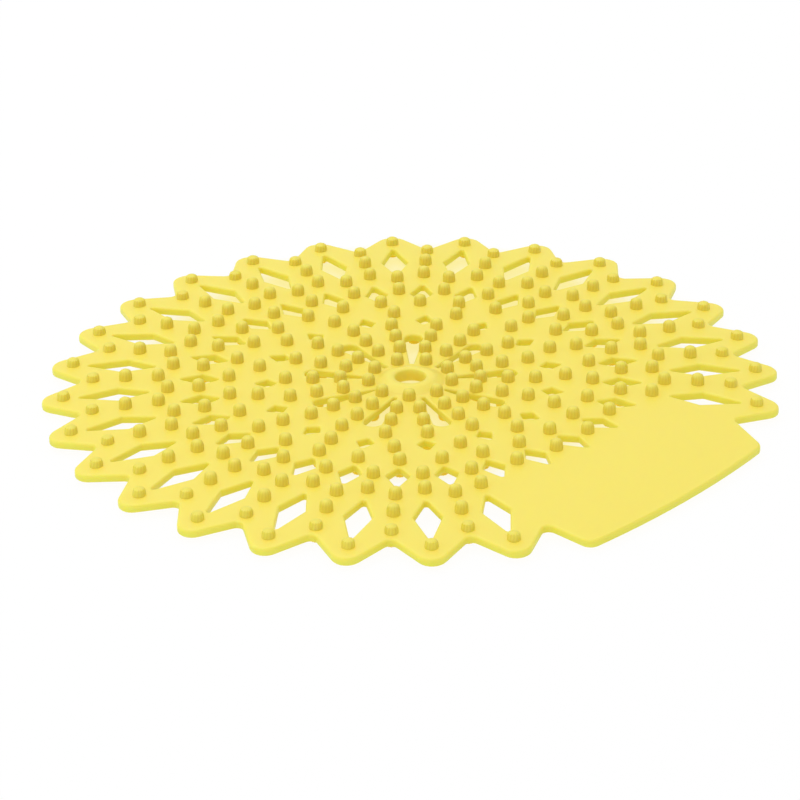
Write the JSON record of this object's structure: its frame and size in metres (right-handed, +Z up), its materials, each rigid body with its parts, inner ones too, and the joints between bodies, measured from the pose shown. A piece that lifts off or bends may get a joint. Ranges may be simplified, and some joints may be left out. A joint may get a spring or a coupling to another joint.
{
  "type": "urinal deodorizer screen",
  "caption": "Round soft moulded urinal screen with a petalled edge, a plain grip panel, rings of drain holes round a hub hole and short nubs on both faces.",
  "frame": {"origin": "on the axis of the hub hole, in the plane that the outermost nubs stand on", "axes": "+Z up through the hub hole, -Y to the middle of the plain grip panel, +X to its right seen from above"},
  "size_m": [0.1838, 0.1822, 0.0075],
  "materials": {
    "soft_yellow": "satin"
  },
  "bodies": {
    "root": {"screen": "soft_yellow"}
  },
  "joints": []
}
